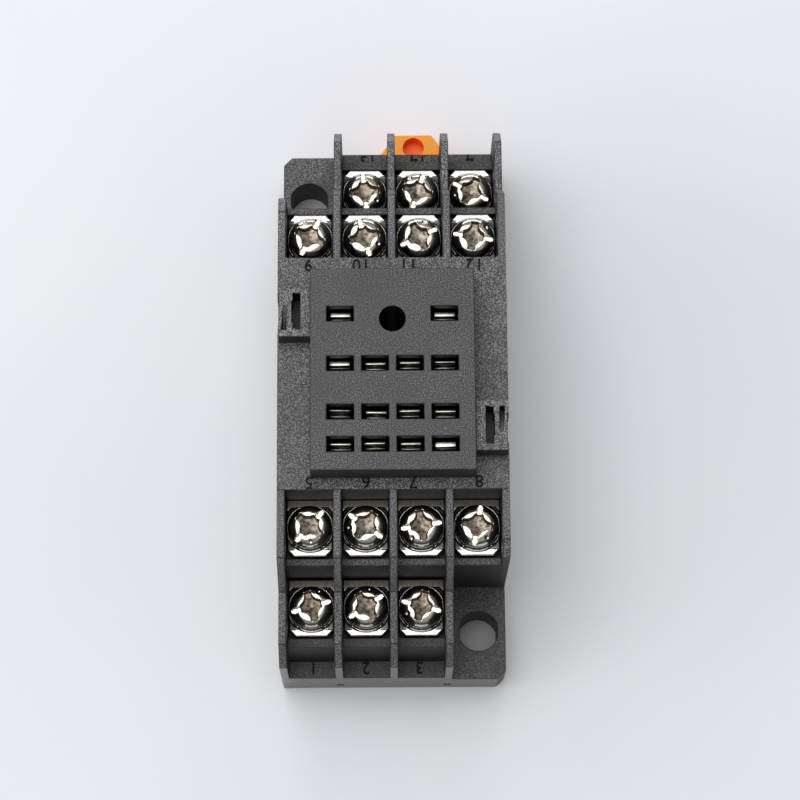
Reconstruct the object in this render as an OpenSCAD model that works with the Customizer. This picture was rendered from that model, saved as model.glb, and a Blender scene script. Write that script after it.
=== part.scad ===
// Screw-terminal base for a plug-in relay, with a spring latch for a 35 mm rail.
// X runs across the terminal columns, Y along the base to the latch end, Z up from the back.
// The origin is on the back plane, at the middle of the base.

/* [Overall size] */
// Width across the four terminal columns
body_w = 29; // [28:0.5:36]
// Length between the two end faces
body_l = 71.6; // [70:0.2:88]
// Height from the back to the relay seat
body_h = 30; // [28.5:0.5:38]

/* [Housing] */
// Thickness of the barriers between terminals
wall_t = 1; // [0.8:0.1:1.1]
// Thickness of the skirt round the back
skirt_t = 1.3; // [1:0.1:1.4]
// Thickness of floors and roofs
floor_t = 1.4; // [1:0.1:1.5]
// Height of the shoulder round the relay seat
shoulder_z = 26; // [25:0.1:26.5]
// Height of the barriers beside the inner terminals
inner_wall_z = 25.8; // [24:0.1:26]
// Height of the barriers beside the outer terminals
outer_wall_z = 19.1; // [18:0.1:20]
// Height of the upright end of an outer barrier
outer_end_z = 15.6; // [13:0.1:17]
// Height of the ledge that carries the terminal numbers
ledge_z = 7.6; // [7.2:0.1:9]
// Height of the fixing ears
ear_z = 6.4; // [5:0.1:7]
// Corner cut of the fixing ears
ear_cut = 1.1; // [0.5:0.1:2]
// Width of the raised relay seat
seat_w = 20.56; // [20:0.1:21]
// Length of the raised relay seat
seat_l = 26.04; // [25:0.1:27]
// Offset of the seat's middle towards the fixed-hook end
seat_shift = 0.6; // [0:0.1:1]

/* [Fixing holes] */
// Diameter of a fixing hole, for a 4 mm screw
ear_hole_d = 5.2; // [4.4:0.1:5.6]
// Distance across the flats of a fixing hole
ear_hole_flat = 4.9; // [4.2:0.1:5.2]
// From the side of the base to a fixing hole
ear_hole_side = 3.5; // [3.3:0.1:3.7]
// From the end of the base to a fixing hole
ear_hole_end = 6.3; // [5:0.1:8]

/* [Terminals] */
// From the end of the base to the outer screws
outer_inset = 8; // [7.8:0.1:8.6]
// From the outer screws to the inner screws
tier_step = 8.8; // [8.7:0.1:10]
// Height of the floor below the outer terminals
outer_floor_z = 11.6; // [11.2:0.1:12.4]
// Height of the floor below the inner terminals
inner_floor_z = 19.1; // [18.6:0.1:20]
// Nominal diameter of the terminal screws
screw_d = 3; // [2.5:0.1:3.6]
// Length of a terminal screw below its head
screw_len = 8; // [6.5:0.1:8]
// Diameter of a screw head
head_d = 5.5; // [5:0.1:5.7]
// Height of a screw head
head_h = 2.1; // [1.6:0.1:2.4]
// Thickness of a clamp washer
washer_t = 0.9; // [0.7:0.1:1.2]
// Length of a clamp washer, without its lip
washer_l = 5.7; // [5.2:0.1:5.9]
// Run of the washer's bent lip
lip_run = 0.7; // [0.5:0.1:0.8]
// Drop of the washer's bent lip
lip_drop = 1.1; // [0.6:0.1:1.3]
// Thickness of the terminal plates
plate_t = 1; // [0.8:0.1:1.2]

/* [Contacts] */
// Distance between contact columns
contact_pitch = 4.35; // [4.2:0.05:5.3]
// Length of a contact slot across the base
slot_w = 3.4; // [3.1:0.1:3.5]
// Length of a contact slot along the base
slot_l = 1.93; // [1.7:0.05:2.1]
// Width of a contact leaf
leaf_w = 2.7; // [2.4:0.1:2.9]
// Thickness of a contact leaf
leaf_t = 0.4; // [0.3:0.05:0.45]

/* [Rail] */
// Width of the rail channel, for a 35 mm rail
rail_w = 35.5; // [34:0.1:37]
// Depth of the rail channel
rail_depth = 4; // [3.9:0.1:4.4]
// Reach of the hooks behind the rail's edge
hook_reach = 1.65; // [1.2:0.05:2]
// Middle of the latch across the base
latch_x = 3.1; // [2:0.1:3.5]
// Width of the latch bar
latch_w = 8.4; // [7.6:0.1:8.8]
// Travel of the latch
latch_travel = 2.5; // [1.8:0.1:3]
// Reach of the latch tab past the end face
tab_reach = 4.2; // [3.5:0.1:6]

/* [Hidden] */
$fn = 48;
e = 0.01;

// clearances
washer_gap = 0.15;
washer_bore_gap = 0.1;
lip_gap = 0.2;
thread_gap = 0.03;
plate_gap = 0.15;
slide_gap = 0.15;
leg_gap = 0.1;
rest_gap = 0.1;

pitch = (body_w - wall_t) / 4;
half_w = body_w / 2;
half_l = body_l / 2;
outer_y = half_l - outer_inset;
inner_y = outer_y - tier_step;
bay_front = washer_l / 2 + lip_run + lip_gap;
leg_t = 0.8;
leg_w = 4;
plate_back = washer_l / 2 + 0.95;
shoulder_y = inner_y - plate_back - leg_gap;
screw_r = screw_d / 2 - thread_gap;
floor_hole_r = screw_d / 2 + 0.3;
washer_w = pitch - wall_t - 2 * washer_gap;
bend_in = 0.2;
lip_corner = 1;

// cross wall between the tiers, and the ledge past the outer terminals
cross_t = 0.95;
cross_y = inner_y + bay_front;
cross_z = inner_floor_z + 1.4;
ledge_front = 1.2;
ledge_slope = 0.85;
outer_ledge_y = outer_y + bay_front;
outer_ledge_z = outer_floor_z + 1.5;

// barriers: runs of their slopes, and the height lost at the ear's side
step_run = 3;
end_run = 2.45;
ear_side_run = 1.3;

// extra thickness of the walls below the terminals
cross_extra = 0.25;
ear_extra = 0.3;
ledge_extra = 0.15;
ear_wall = wall_t / 2 + ear_extra;

// core marks in the end faces
mark_w = 0.9;
mark_h = 0.7;
mark_z = 2;
mark_depth = 0.4;

// contacts: rows along the base, from the fixed-hook end
slot_rows = [-10.3, -6.17, 0.06, 6.48];
pocket_l = 3;
core_z = 17;
core_skin = 1.2;
core_x = 1.5 * contact_pitch + slot_w / 2 + core_skin;
mouth_t = 1.3;
clip_z = core_z + 0.4;
clip_top = body_h - 1.5;
leaf_spread = 1.15;
tip_spread = 0.52;
nip_spread = 0.47;
knee_z = clip_z + 4;
nip_z = clip_top - 1.2;

// centre hole and the screw that holds the rear plate
hole_y = 5.8;
centre_hole_d = 3.4;
boss_r = 3;
pilot_r = 1.3;
pilot_top = 16;
plate_screw_head_r = 2.75;
plate_screw_head_h = 1.9;
plate_screw_gap = 0.15;
plate_screw_slot = [3, 0.7, 1.1];

// seats for the relay's hold-down spring
pad_z = 28.7;
pad_l = 6.6;
pad_y = 7.4;
pad_shift = 0.2;
pad_inset = 0.15;
clip_slot_l = 4.7;
clip_slot_w = 0.95;
clip_slot_x = half_w - 2.45;
slot_notch = 0.13;
slot_notch_l = 2.8;
slot_floor_z = shoulder_z - 0.6;
groove_w = 0.55;
groove_inset = 0.65;
groove_depth = 1.4;
groove_ends = [-0.9, 2.35];
face_cut = 0.18;
face_cut_ends = [-2.3, 1.6];
face_cut_z = shoulder_z - 3;

// rear plate
rear_t = 1.6;
rear_z = 0.3;
rear_top = rail_depth + rear_t;
rear_boss_top = 8.2;
rear_boss_r = 4.4;
rear_in = skirt_t + plate_gap;
web_y = rail_w / 2;
rail_lip_t = 1;
hook_top = rail_depth - rail_lip_t - 0.2;
hook_t = 1.5;
hook_x = [-8.5, 2.5];
hook_w = 6;
hook_root = 1;
hook_nose = [0.9, 0.6];
rib_y = 12.5;
rib_t = 1;
rib_inset = 0.6;

// latch
latch_top = rail_depth - 0.1;
latch_low = hook_top - hook_t;
flange_z = 2.5;
flange_run = 0.8;
roof_z = rail_depth + 0.15;
roof_t = 1.05;
cheek_t = 1.2;
tab_gap = 0.25;
tab_end_w = 5;
tab_slope = 0.7;
tab_hole_r = 1.45;
tab_hole_in = 1.9;
tab_hole_depth = 1.8;
window_w = 6;
window_y = web_y + 4.5;
spring_t = 0.7;
spring_turns = 4;
spring_slack = 1.7;
spring_side = 0.4;
spring_rise = 0.2;
post_y = window_y + latch_travel + (spring_turns + 1) * spring_t + spring_slack;
post_t = 1.4;
post_side = 0.2;

// terminals: column, end, tier, contact column, contact row
OUTER = 0;
INNER = 1;
TERMINALS = [
    [-1.5, -1, OUTER, -1.5, 0],
    [-0.5, -1, OUTER, -0.5, 0],
    [0.5, -1, OUTER, 0.5, 0],
    [1.5, 1, OUTER, 1.5, 0],
    [-1.5, -1, INNER, -1.5, 1],
    [-0.5, -1, INNER, -0.5, 1],
    [0.5, -1, INNER, 0.5, 1],
    [1.5, -1, INNER, 1.5, 1],
    [-1.5, 1, INNER, -1.5, 2],
    [-0.5, 1, INNER, -0.5, 2],
    [0.5, 1, INNER, 0.5, 2],
    [1.5, 1, INNER, 1.5, 2],
    [-0.5, 1, OUTER, -1.5, 3],
    [0.5, 1, OUTER, 1.5, 3]
];
// Angle of each screw's slot, as tightened by hand.
drive_angle = [-164, -146, -15, 152, 49, -36, 9, 80, 64, -75, 26, -10, -84, 72];
recess_reach = 1.55;
recess_w = 0.9;
recess_depth = 1.4;
drive_slot_w = 0.7;
drive_slot_depth = 0.8;
seam_turn = 15;
run_z = [7, 14];
run_w = [2, 1.2];
run_t = 0.8;
tail_w = 2;
// Lanes of the strips: beside the outer contacts, along the side wall, and where they turn.
lane_side = 2.5;
wall_lane = 1.5;
turn_past = 2;
plate_short = 0.25;

function two_digits(n) = n < 10 ? str("0", n) : str(n);
function terminal_node(name, n) = str(name, "_", two_digits(n));
function terminal_x(t) = t[0] * pitch;
function tier_y(tier) = tier == OUTER ? outer_y : inner_y;
function floor_z(tier) = tier == OUTER ? outer_floor_z : inner_floor_z;
function plate_top(tier) = floor_z(tier) + plate_t;
function head_z(tier) = plate_top(tier) + washer_t;
function slot_x(t) = t[3] * contact_pitch;
function slot_y(t) = slot_rows[t[4]];
function leg_y(t) = t[1] * (tier_y(t[2]) - plate_back + leg_t / 2);

// ---- helpers ----

// A profile drawn as (Y, Z) points, stretched from x0 to x1.
module stretch_x(x0, x1) {
    translate([x0, 0, 0]) rotate([90, 0, 90]) linear_extrude(x1 - x0) children();
}

// A block between two corners.
module block(low, high) {
    translate(low) cube(high - low);
}

// The children, and the same turned half a turn about Z.
module both_ends() {
    children();
    rotate([0, 0, 180]) children();
}

module at_terminal(t) {
    translate([terminal_x(t), t[1] * tier_y(t[2]), 0])
        rotate([0, 0, t[1] > 0 ? 0 : 180]) children();
}

// ---- housing ----

// Barrier that runs the whole way to the end face.
module long_barrier(i) {
    stretch_x(i * pitch - wall_t / 2, i * pitch + wall_t / 2)
        polygon([
            [shoulder_y - 1, 0], [shoulder_y - 1, inner_wall_z],
            [cross_y + cross_t, inner_wall_z],
            [cross_y + cross_t + step_run, outer_wall_z],
            [half_l - end_run, outer_wall_z],
            [half_l, outer_end_z], [half_l, 0]
        ]);
}

// Barrier that stops at a fixing ear.
module short_barrier(i) {
    stretch_x(i * pitch - wall_t / 2, i * pitch + wall_t / 2)
        polygon([
            [shoulder_y - 1, 0], [shoulder_y - 1, inner_wall_z],
            [cross_y - ear_side_run, inner_wall_z],
            [cross_y + cross_t, inner_wall_z - ear_side_run],
            [cross_y + cross_t, 0]
        ]);
}

module fixing_ear() {
    linear_extrude(ear_z)
        polygon([
            [-half_w, cross_y], [-half_w, half_l - ear_cut],
            [-half_w + ear_cut, half_l], [-pitch, half_l], [-pitch, cross_y]
        ]);
}

// One end of the housing, from the middle to the end face at +Y.
module housing_end() {
    stretch_x(-half_w, half_w)
        polygon([
            [0, 0], [0, shoulder_z], [shoulder_y, shoulder_z],
            [shoulder_y, inner_floor_z], [cross_y, inner_floor_z],
            [cross_y, cross_z], [cross_y + cross_t, cross_z],
            [cross_y + cross_t, 0]
        ]);
    stretch_x(-pitch, half_w)
        polygon([
            [cross_y, 0], [cross_y, outer_floor_z],
            [outer_ledge_y, outer_floor_z], [outer_ledge_y, outer_ledge_z],
            [outer_ledge_y + ledge_front, outer_ledge_z],
            [outer_ledge_y + ledge_front + ledge_slope, ledge_z],
            [half_l, ledge_z], [half_l, 0]
        ]);
    short_barrier(-2);
    for (i = [-1:2]) long_barrier(i);
    fixing_ear();
}

module relay_seat() {
    block([-seat_w / 2, -seat_l / 2 - seat_shift, shoulder_z - e],
          [seat_w / 2, seat_l / 2 - seat_shift, body_h]);
}

// Raised pad beside the seat, at +X; the other one is its half-turn copy.
module hold_down_pad() {
    block([seat_w / 2 - e, -pad_y - pad_l / 2, shoulder_z - e],
          [half_w - pad_inset, -pad_y + pad_l / 2, pad_z]);
}

// Blind slot for the hold-down spring, the ramp beside it and the thinned outer face.
module hold_down_cuts() {
    block([clip_slot_x - clip_slot_w / 2, -pad_y - clip_slot_l / 2, slot_floor_z],
          [clip_slot_x + clip_slot_w / 2, -pad_y + clip_slot_l / 2, pad_z + 1]);
    block([clip_slot_x, -pad_y - slot_notch_l / 2, slot_floor_z],
          [clip_slot_x + clip_slot_w / 2 + slot_notch, -pad_y + slot_notch_l / 2, pad_z + 1]);
    stretch_x(half_w - groove_inset - groove_w, half_w - groove_inset)
        polygon([
            [-pad_y + groove_ends[1], pad_z - groove_depth],
            [-pad_y + groove_ends[1], pad_z + e], [-pad_y + groove_ends[0], pad_z + e]
        ]);
    block([half_w - pad_inset - face_cut, -pad_y + face_cut_ends[0], face_cut_z],
          [half_w + 1, -pad_y + face_cut_ends[1], pad_z + 1]);
}

// Hollow below the inner and outer terminals of one end.
module end_hollow() {
    block([-half_w + skirt_t, 0, -1],
          [half_w - skirt_t, cross_y - cross_extra, inner_floor_z - floor_t]);
    block([-pitch + ear_wall, 0, -1],
          [half_w - skirt_t, outer_ledge_y - ledge_extra, outer_floor_z - floor_t]);
    block([-pitch + ear_wall, 0, -1],
          [half_w - skirt_t, half_l - skirt_t, ledge_z - floor_t]);
}

// Hollow below the shoulder, round the block that holds the contacts.
module middle_hollow() {
    difference() {
        block([-half_w + skirt_t, -shoulder_y + core_skin, -1],
              [half_w - skirt_t, shoulder_y - core_skin, shoulder_z - floor_t]);
        block([-core_x, slot_rows[0] - pocket_l / 2 - core_skin, core_z],
              [core_x, slot_rows[3] + pocket_l / 2 + core_skin, shoulder_z]);
        translate([0, hole_y, rear_boss_top]) cylinder(r = boss_r, h = core_z - rear_boss_top + 1);
    }
}

module contact_pockets() {
    for (t = TERMINALS)
        translate([slot_x(t), slot_y(t), 0]) {
            block([-slot_w / 2, -pocket_l / 2, core_z - 1],
                  [slot_w / 2, pocket_l / 2, body_h - mouth_t]);
            block([-slot_w / 2, -slot_l / 2, body_h - mouth_t - e],
                  [slot_w / 2, slot_l / 2, body_h + 1]);
        }
}

module centre_hole() {
    translate([0, hole_y, pilot_top]) cylinder(d = centre_hole_d, h = body_h);
    translate([0, hole_y, 0]) cylinder(r = pilot_r, h = pilot_top + 1);
}

module ear_hole() {
    translate([-half_w + ear_hole_side, half_l - ear_hole_end, -1])
        intersection() {
            cylinder(d = ear_hole_d, h = ear_z + 2);
            translate([-ear_hole_flat / 2, -ear_hole_d, 0])
                cube([ear_hole_flat, 2 * ear_hole_d, ear_z + 2]);
        }
}

// Openings in a terminal's floor: for its screw and for the strip's leg.
module floor_cuts(t) {
    at_terminal(t) {
        cylinder(r = floor_hole_r, h = floor_z(t[2]) + e);
        block([-leg_w / 2 - leg_gap, -plate_back - leg_gap, run_z[0]],
              [leg_w / 2 + leg_gap, -plate_back + leg_t + leg_gap, floor_z(t[2]) + e]);
    }
}

// Small core marks in the end faces, below the long barriers.
module end_marks() {
    for (x = [-pitch, pitch])
        block([x - mark_w / 2, half_l - mark_depth, mark_z],
              [x + mark_w / 2, half_l + 1, mark_z + mark_h]);
}

module latch_gate() {
    block([latch_x - latch_w / 2 - slide_gap, half_l - skirt_t - 1, -1],
          [latch_x + latch_w / 2 + slide_gap, half_l + 1, roof_z]);
}

module housing() {
    color("#34363a")
    difference() {
        union() {
            both_ends() housing_end();
            relay_seat();
            translate([0, -pad_shift, 0]) both_ends() hold_down_pad();
        }
        both_ends() end_hollow();
        middle_hollow();
        contact_pockets();
        centre_hole();
        translate([0, -pad_shift, 0]) both_ends() hold_down_cuts();
        both_ends() ear_hole();
        for (t = TERMINALS) floor_cuts(t);
        both_ends() end_marks();
        latch_gate();
        block([-half_w - 1, -rail_w / 2, -1], [half_w + 1, rail_w / 2, rail_depth]);
    }
}

// ---- rear plate ----

// Floor of one end of the base, with its upright web beside the rail channel.
module rear_end() {
    block([-half_w + rear_in, web_y, rear_z], [half_w - rear_in, web_y + rear_t, rear_top]);
    block([-half_w + rear_in, web_y, rear_z],
          [half_w - rear_in, cross_y - cross_extra - plate_gap, rear_z + rear_t]);
    block([-pitch + ear_wall + plate_gap, web_y, rear_z],
          [half_w - rear_in, half_l - rear_in, rear_z + rear_t]);
}

// Hooks that take the rail's fixed edge.
module fixed_hooks() {
    for (x = hook_x)
        stretch_x(x, x + hook_w)
            polygon([
                [-web_y - e, latch_low - hook_root], [-web_y - e, hook_top],
                [-web_y + hook_reach, hook_top], [-web_y + hook_reach, latch_low + hook_nose[1]],
                [-web_y + hook_reach - hook_nose[0], latch_low],
                [-web_y + 0.4 * hook_root, latch_low - hook_root]
            ]);
}

module tunnel_solid() {
    block([latch_x - latch_w / 2 - slide_gap - cheek_t, web_y, rear_z],
          [latch_x + latch_w / 2 + slide_gap + cheek_t, half_l - rear_in, roof_z + roof_t]);
}

module tunnel_space() {
    block([latch_x - latch_w / 2 - slide_gap, web_y - 1, flange_z - slide_gap],
          [latch_x + latch_w / 2 + slide_gap, half_l + 1, roof_z]);
    block([latch_x - latch_w / 2 + flange_run - slide_gap, web_y - 1, rear_z - 1],
          [latch_x + latch_w / 2 - flange_run + slide_gap, half_l + 1, roof_z]);
}

// Post that the spring pushes against, hanging from the tunnel's roof.
module spring_post() {
    block([latch_x - window_w / 2 + slide_gap + post_side, post_y, latch_low],
          [latch_x + window_w / 2 - slide_gap - post_side, post_y + post_t, roof_z + e]);
}

module rear_plate() {
    color("#2c2e31")
    difference() {
        union() {
            block([-half_w + rear_in, -web_y - rear_t, rail_depth],
                  [half_w - rear_in, web_y + rear_t, rear_top]);
            translate([0, hole_y, rail_depth]) cylinder(r = rear_boss_r, h = rear_boss_top - rail_depth);
            for (y = [-rib_y, rib_y])
                block([-half_w + rear_in + rib_inset, y - rib_t / 2, rear_top - e],
                      [half_w - rear_in - rib_inset, y + rib_t / 2, run_z[0] - rest_gap]);
            rotate([0, 0, 180]) rear_end();
            fixed_hooks();
            difference() {
                union() {
                    rear_end();
                    tunnel_solid();
                }
                tunnel_space();
            }
            spring_post();
        }
        translate([0, hole_y, rail_depth - 1])
            cylinder(r = plate_screw_head_r + 2 * plate_screw_gap,
                     h = 1 + rear_boss_top - rail_depth - rear_t);
        translate([0, hole_y, rail_depth]) cylinder(r = pilot_r + plate_screw_gap, h = rear_boss_top);
    }
}

module plate_screw() {
    head_low = rear_boss_top - rear_t - plate_screw_head_h;
    color("#b9bcc0")
    translate([0, hole_y, head_low])
        difference() {
            union() {
                cylinder(r = plate_screw_head_r, h = plate_screw_head_h);
                cylinder(r = pilot_r - thread_gap, h = pilot_top - head_low - 1);
            }
            for (a = [0, 90])
                rotate([0, 0, a])
                    block([-plate_screw_slot[0] / 2, -plate_screw_slot[1] / 2, -1],
                          [plate_screw_slot[0] / 2, plate_screw_slot[1] / 2, plate_screw_slot[2]]);
        }
}

// ---- rail latch ----

module rail_latch() {
    bar_l = half_l + tab_gap;
    tab_l = tab_reach - tab_gap;
    color("#f39a2b")
    difference() {
        union() {
            translate([latch_x, 0, 0]) {
                block([-latch_w / 2 + flange_run, web_y + rest_gap, latch_low],
                      [latch_w / 2 - flange_run, bar_l + e, latch_top]);
                block([-latch_w / 2, web_y + rest_gap, flange_z],
                      [latch_w / 2, bar_l + e, latch_top]);
            }
            stretch_x(latch_x - latch_w / 2 + flange_run, latch_x + latch_w / 2 - flange_run)
                polygon([
                    [web_y + 2 * rest_gap, latch_low],
                    [web_y - hook_reach + hook_nose[0], latch_low],
                    [web_y - hook_reach, latch_low + hook_nose[1]],
                    [web_y - hook_reach, hook_top], [web_y + 2 * rest_gap, hook_top]
                ]);
            translate([latch_x, bar_l, latch_low])
                linear_extrude(latch_top - latch_low)
                    polygon([
                        [-tab_end_w / 2 - tab_l * tab_slope, 0], [-tab_end_w / 2, tab_l],
                        [tab_end_w / 2, tab_l], [tab_end_w / 2 + tab_l * tab_slope, 0]
                    ]);
        }
        translate([latch_x, 0, 0])
            block([-window_w / 2, window_y, latch_low - 1],
                  [window_w / 2, post_y + post_t + rest_gap, latch_top + 1]);
        translate([latch_x, half_l + tab_reach - tab_hole_in, latch_top - tab_hole_depth])
            cylinder(r = tab_hole_r, h = tab_hole_depth + 1);
    }
}

// Zigzag of plastic between the latch's bar and the fixed post.
module latch_spring() {
    room = post_y - window_y;
    step = (room - spring_t) / spring_turns;
    reach = window_w / 2 - spring_side;
    color("#f39a2b")
    translate([latch_x, window_y, latch_low + spring_rise])
        linear_extrude(latch_top - latch_low - 2 * spring_rise) {
            for (i = [0:spring_turns])
                translate([-reach, i * step]) square([2 * reach, spring_t]);
            for (i = [0:spring_turns - 1])
                translate([i % 2 == 0 ? reach - spring_t : -reach, i * step])
                    square([spring_t, step + spring_t]);
        }
}

// ---- terminals ----

// Flat run of a strip through the points of a square-cornered route.
module strip_run(points, width) {
    for (i = [0:len(points) - 2]) {
        a = points[i];
        b = points[i + 1];
        translate([min(a[0], b[0]) - width / 2, min(a[1], b[1]) - width / 2, 0])
            cube([abs(a[0] - b[0]) + width, abs(a[1] - b[1]) + width, run_t]);
    }
}

// Lane that a strip runs in, clear of the contacts it passes.
function lane_x(t) =
    t[2] == INNER ? sign(t[3]) * (abs(t[3]) < 1 ? contact_pitch : 1.5 * contact_pitch + lane_side)
    : t[1] > 0 && t[4] == 0 ? half_w - skirt_t - wall_lane
    : slot_x(t);
function turn_y(t) = t[2] == INNER ? leg_y(t) : t[1] * (inner_y + turn_past);
function route(t) = [
    [terminal_x(t), leg_y(t)], [terminal_x(t), turn_y(t)], [lane_x(t), turn_y(t)],
    [lane_x(t), slot_y(t)], [slot_x(t), slot_y(t)]
];

module terminal_strip(n) {
    t = TERMINALS[n - 1];
    z = run_z[t[2]];
    color("#c8a765")
    difference() {
        union() {
            at_terminal(t) {
                block([-washer_w / 2, -plate_back, floor_z(t[2])],
                      [washer_w / 2, washer_l / 2 - plate_short, plate_top(t[2])]);
                block([-leg_w / 2, -plate_back, z], [leg_w / 2, -plate_back + leg_t, plate_top(t[2])]);
            }
            translate([0, 0, z]) strip_run(route(t), run_w[t[2]]);
            block([slot_x(t) - tail_w / 2, slot_y(t) - leg_t / 2, z],
                  [slot_x(t) + tail_w / 2, slot_y(t) + leg_t / 2, clip_z]);
        }
        at_terminal(t) cylinder(d = screw_d, h = body_h);
    }
}

// Fork that grips one pin of the relay.
module contact_clip() {
    leaf = [
        [leaf_spread, clip_z], [leaf_spread, knee_z], [nip_spread, nip_z],
        [tip_spread, clip_top], [tip_spread - leaf_t, clip_top],
        [nip_spread - leaf_t, nip_z], [leaf_spread - leaf_t, knee_z],
        [leaf_spread - leaf_t, clip_z + leaf_t]
    ];
    stretch_x(-leaf_w / 2, leaf_w / 2)
        polygon(concat(leaf, [for (i = [len(leaf) - 1:-1:0]) [-leaf[i][0], leaf[i][1]]]));
}

module contact_clips(row) {
    color("#d8d4c6")
    for (t = TERMINALS)
        if (t[4] == row) translate([slot_x(t), slot_y(t), 0]) contact_clip();
}

// Side of a clamp washer: flat below the head, with its lip bent down at the wire's side.
module washer_side() {
    half = washer_l / 2;
    lip_t = [0.6, 0.3];
    polygon([
        [-half, 0], [-half, washer_t], [half, washer_t],
        [half + lip_run, washer_t - lip_drop],
        [half + lip_run - lip_t[0], washer_t - lip_drop - lip_t[1]], [half - bend_in, 0]
    ]);
}

// Outline of a clamp washer seen from above, with the lip's corners cut.
module washer_outline() {
    half = washer_l / 2;
    polygon([
        [-washer_w / 2, -half], [-washer_w / 2, half - bend_in],
        [-washer_w / 2 + lip_corner, half + lip_run],
        [washer_w / 2 - lip_corner, half + lip_run],
        [washer_w / 2, half - bend_in], [washer_w / 2, -half]
    ]);
}

module clamp_washer(n) {
    t = TERMINALS[n - 1];
    color("#cfd2d6")
    at_terminal(t)
        translate([0, 0, plate_top(t[2])])
            difference() {
                intersection() {
                    stretch_x(-washer_w / 2, washer_w / 2) washer_side();
                    translate([0, 0, -lip_drop - 1])
                        linear_extrude(washer_t + lip_drop + 2) washer_outline();
                }
                translate([0, 0, -1]) cylinder(r = screw_d / 2 + washer_bore_gap, h = washer_t + 2);
            }
}

// Half section of a screw: domed pan head above the shank with its chamfered tip.
module screw_section(r) {
    tip = 0.3;
    rim = 0.1;
    polygon([
        [0, -screw_len], [screw_r - tip, -screw_len], [screw_r, -screw_len + tip], [screw_r, 0],
        [r - rim, 0], [r, rim], [r, head_h * 0.35],
        [r - 0.35, head_h * 0.72], [r - 1.1, head_h * 0.95], [0, head_h]
    ]);
}

// Cross recess with a shallower slot that runs out to the rim.
module drive_recess(r) {
    wing = [recess_reach, recess_w / 2];
    translate([0, 0, head_h - recess_depth])
        linear_extrude(recess_depth + 1)
            polygon([
                for (a = [0:90:270], p = [[wing[1], -wing[1]], [wing[0], -wing[1]], wing])
                    [p[0] * cos(a) - p[1] * sin(a), p[0] * sin(a) + p[1] * cos(a)]
            ]);
    block([-r - 1, -drive_slot_w / 2, head_h - drive_slot_depth],
          [r + 1, drive_slot_w / 2, head_h + 1]);
}

// The seam of the turned section is kept clear of the recess's flat walls.
module terminal_screw(n) {
    t = TERMINALS[n - 1];
    color("#d6d9dc")
    at_terminal(t)
        translate([0, 0, head_z(t[2])])
            rotate([0, 0, drive_angle[n - 1]])
                difference() {
                    rotate([0, 0, seam_turn]) rotate_extrude() screw_section(head_d / 2);
                    drive_recess(head_d / 2);
                }
}

// ---- nodes ----

housing();
rear_plate();
rail_latch();
latch_spring();
plate_screw();
for (n = [1:14]) {
    terminal_strip(n);
    clamp_washer(n);
    terminal_screw(n);
}
for (n = [1:4])
    contact_clips(n - 1);
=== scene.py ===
"""Screw-terminal base for a plug-in relay: its finished pieces, materials and studio.

Sizes are in millimetres in the tables and are turned to metres with MM. Places come from the
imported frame: each terminal's axis and heights are read from the boxes of its screw and washer.
"""
import math

import bmesh
import bpy
from mathutils import Matrix, Vector
from mathutils.bvhtree import BVHTree
from mathutils.geometry import area_tri, tessellate_polygon


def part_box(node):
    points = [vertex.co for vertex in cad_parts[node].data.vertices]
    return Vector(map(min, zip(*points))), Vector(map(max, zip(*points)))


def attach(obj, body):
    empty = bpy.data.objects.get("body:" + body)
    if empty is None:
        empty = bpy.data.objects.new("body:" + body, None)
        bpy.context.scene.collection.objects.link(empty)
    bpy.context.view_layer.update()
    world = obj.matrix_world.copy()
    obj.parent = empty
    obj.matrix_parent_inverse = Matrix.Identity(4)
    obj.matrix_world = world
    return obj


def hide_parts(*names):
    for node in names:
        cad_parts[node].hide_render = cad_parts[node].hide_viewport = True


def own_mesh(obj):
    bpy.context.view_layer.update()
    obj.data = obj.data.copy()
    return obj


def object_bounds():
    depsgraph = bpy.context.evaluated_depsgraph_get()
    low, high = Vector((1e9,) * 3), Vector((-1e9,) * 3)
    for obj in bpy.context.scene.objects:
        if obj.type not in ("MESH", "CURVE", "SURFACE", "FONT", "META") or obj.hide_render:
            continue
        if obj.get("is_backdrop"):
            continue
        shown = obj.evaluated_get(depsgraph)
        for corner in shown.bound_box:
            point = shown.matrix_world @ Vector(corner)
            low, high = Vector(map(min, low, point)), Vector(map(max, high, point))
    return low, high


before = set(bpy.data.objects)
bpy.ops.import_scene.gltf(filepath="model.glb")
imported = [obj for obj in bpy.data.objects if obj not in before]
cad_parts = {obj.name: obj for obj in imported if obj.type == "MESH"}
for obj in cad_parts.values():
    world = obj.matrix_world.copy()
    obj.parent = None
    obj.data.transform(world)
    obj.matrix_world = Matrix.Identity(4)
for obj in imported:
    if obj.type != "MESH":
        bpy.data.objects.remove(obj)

MM = 0.001
TERMINALS = range(1, 15)
cad_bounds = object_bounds()

# ---- nodes, colours and meshes ----


def colour(hex_code):
    """An sRGB hex colour as linear RGBA."""
    channels = [int(hex_code[i:i + 2], 16) / 255 for i in (1, 3, 5)]
    return [c / 12.92 if c < 0.04045 else ((c + 0.055) / 1.055) ** 2.4 for c in channels] + [1]


def add_node(tree, kind, inputs=None, stops=(), **settings):
    """Adds a node. Inputs are keyed by name or number, and hold a value or another node's
    socket. A colour ramp also takes its stops: places with their hex colours."""
    node = tree.nodes.new(kind)
    for name, value in settings.items():
        setattr(node, name, value)
    for key, value in (inputs or {}).items():
        if isinstance(value, bpy.types.NodeSocket):
            tree.links.new(value, node.inputs[key])
        else:
            node.inputs[key].default_value = value
    if stops:
        elements = node.color_ramp.elements
        while len(elements) < len(stops):
            elements.new(0.5)
        for element, (place, shade) in zip(elements, stops):
            element.position = place
            element.color = colour(shade)
    return node


def new_material(name):
    material = bpy.data.materials.new(name)
    material.use_nodes = True
    material.node_tree.nodes.clear()
    return material, material.node_tree


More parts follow.
